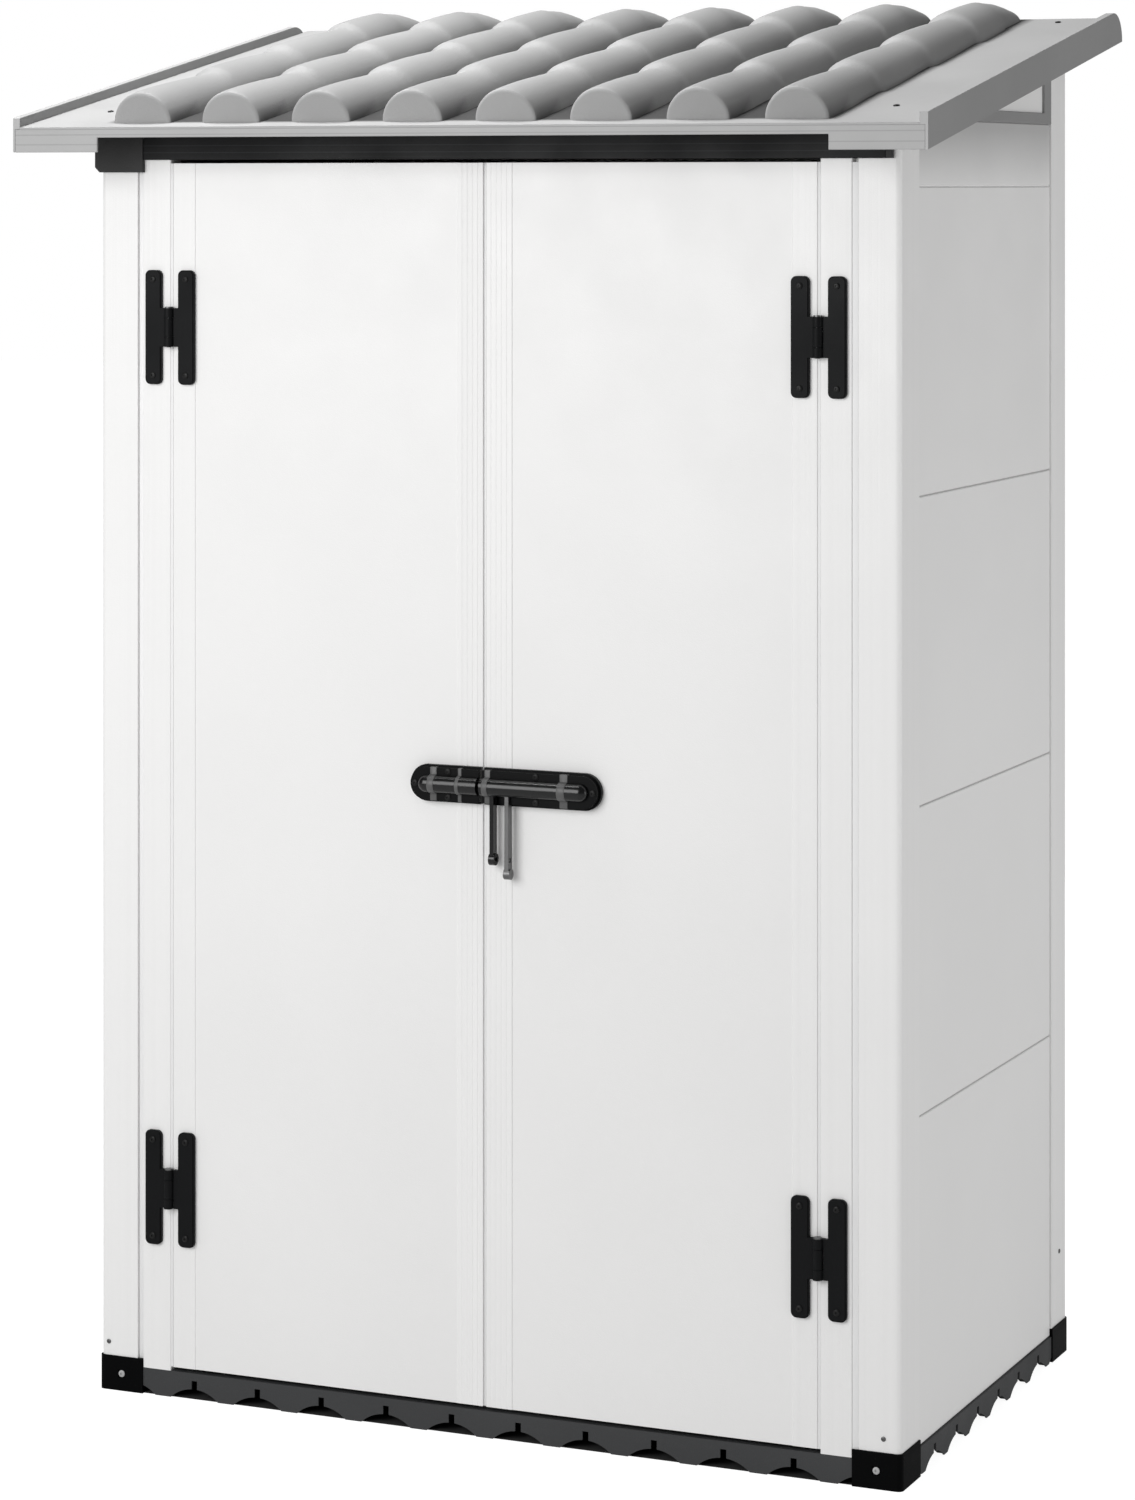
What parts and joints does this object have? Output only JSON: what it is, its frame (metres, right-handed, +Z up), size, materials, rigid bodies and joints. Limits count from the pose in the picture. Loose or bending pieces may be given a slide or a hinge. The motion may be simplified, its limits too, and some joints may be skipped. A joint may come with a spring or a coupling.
{
  "type": "storage shed",
  "caption": "Small lean-to resin storage shed: hollow board walls on a moulded floor, a tile-look sloping roof and two hinged front doors with a sliding bolt.",
  "frame": {"origin": "middle of the plan of the whole shed with its roof, on the ground that it stands on", "axes": "+X to the right seen from the front, +Y from the doors to the back, +Z up"},
  "size_m": [1.398, 0.89, 2.0403],
  "materials": {
    "white_resin": "satin moulded",
    "trim_resin": "satin moulded",
    "tile_resin": "satin moulded",
    "base_resin": "moulded",
    "black_resin": "moulded",
    "steel": "zinc plated"
  },
  "bodies": {
    "shed": {"floor_panel_left": "base_resin", "floor_panel_middle": "base_resin", "floor_panel_right": "base_resin", "corner_blocks": "black_resin", "post_front_left": "white_resin", "post_front_right": "white_resin", "post_rear_left": "white_resin", "post_rear_right": "white_resin", "jamb_left": "white_resin", "jamb_right": "white_resin", "lintel": "black_resin", "lintel_end_caps": "black_resin", "rear_rail": "white_resin", "roof_rafter": "white_resin", "wall_left_board_1": "white_resin", "wall_left_board_2": "white_resin", "wall_left_board_3": "white_resin", "wall_left_board_4": "white_resin", "wall_left_board_top": "white_resin", "wall_right_board_1": "white_resin", "wall_right_board_2": "white_resin", "wall_right_board_3": "white_resin", "wall_right_board_4": "white_resin", "wall_right_board_top": "white_resin", "wall_rear_board_1": "white_resin", "wall_rear_board_2": "white_resin", "wall_rear_board_3": "white_resin", "wall_rear_board_4": "white_resin", "wall_rear_board_top": "white_resin", "gable_frame_left": "trim_resin", "gable_frame_right": "trim_resin", "gable_panels": "white_resin", "roof_left": "tile_resin", "roof_right": "tile_resin", "verge_left": "trim_resin", "verge_right": "trim_resin", "eaves_fascia": "trim_resin", "hinge_frame_leaf_left_lower": "black_resin", "hinge_frame_leaf_left_upper": "black_resin", "hinge_frame_leaf_right_lower": "black_resin", "hinge_frame_leaf_right_upper": "black_resin", "hinge_pins": "steel", "frame_screws": "steel"},
    "door_left": {"door_left_panel": "white_resin", "door_left_hinge_stile": "white_resin", "door_left_meeting_stile": "white_resin", "hinge_door_leaf_left_lower": "black_resin", "hinge_door_leaf_left_upper": "black_resin", "door_left_screws": "steel", "latch_keeper": "black_resin"},
    "door_right": {"door_right_panel": "white_resin", "door_right_hinge_stile": "white_resin", "door_right_meeting_stile": "white_resin", "hinge_door_leaf_right_lower": "black_resin", "hinge_door_leaf_right_upper": "black_resin", "door_right_screws": "steel", "latch_housing": "black_resin"},
    "bolt": {"latch_bolt": "steel", "bolt_arm": "steel"}
  },
  "joints": [
    {"name": "door_left_hinge", "type": "hinge", "parent": "shed", "child": "door_left", "pos_m": [-0.503, -0.3365, 0.917], "axis": [0, 0, -1], "range_deg": [0, 170]},
    {"name": "door_right_hinge", "type": "hinge", "parent": "shed", "child": "door_right", "pos_m": [0.503, -0.3365, 0.917], "axis": [0, 0, 1], "range_deg": [0, 170]},
    {"name": "bolt_slide", "type": "slide", "parent": "door_right", "child": "bolt", "axis": [-1, 0, 0], "range_m": [0, 0.015]}
  ]
}
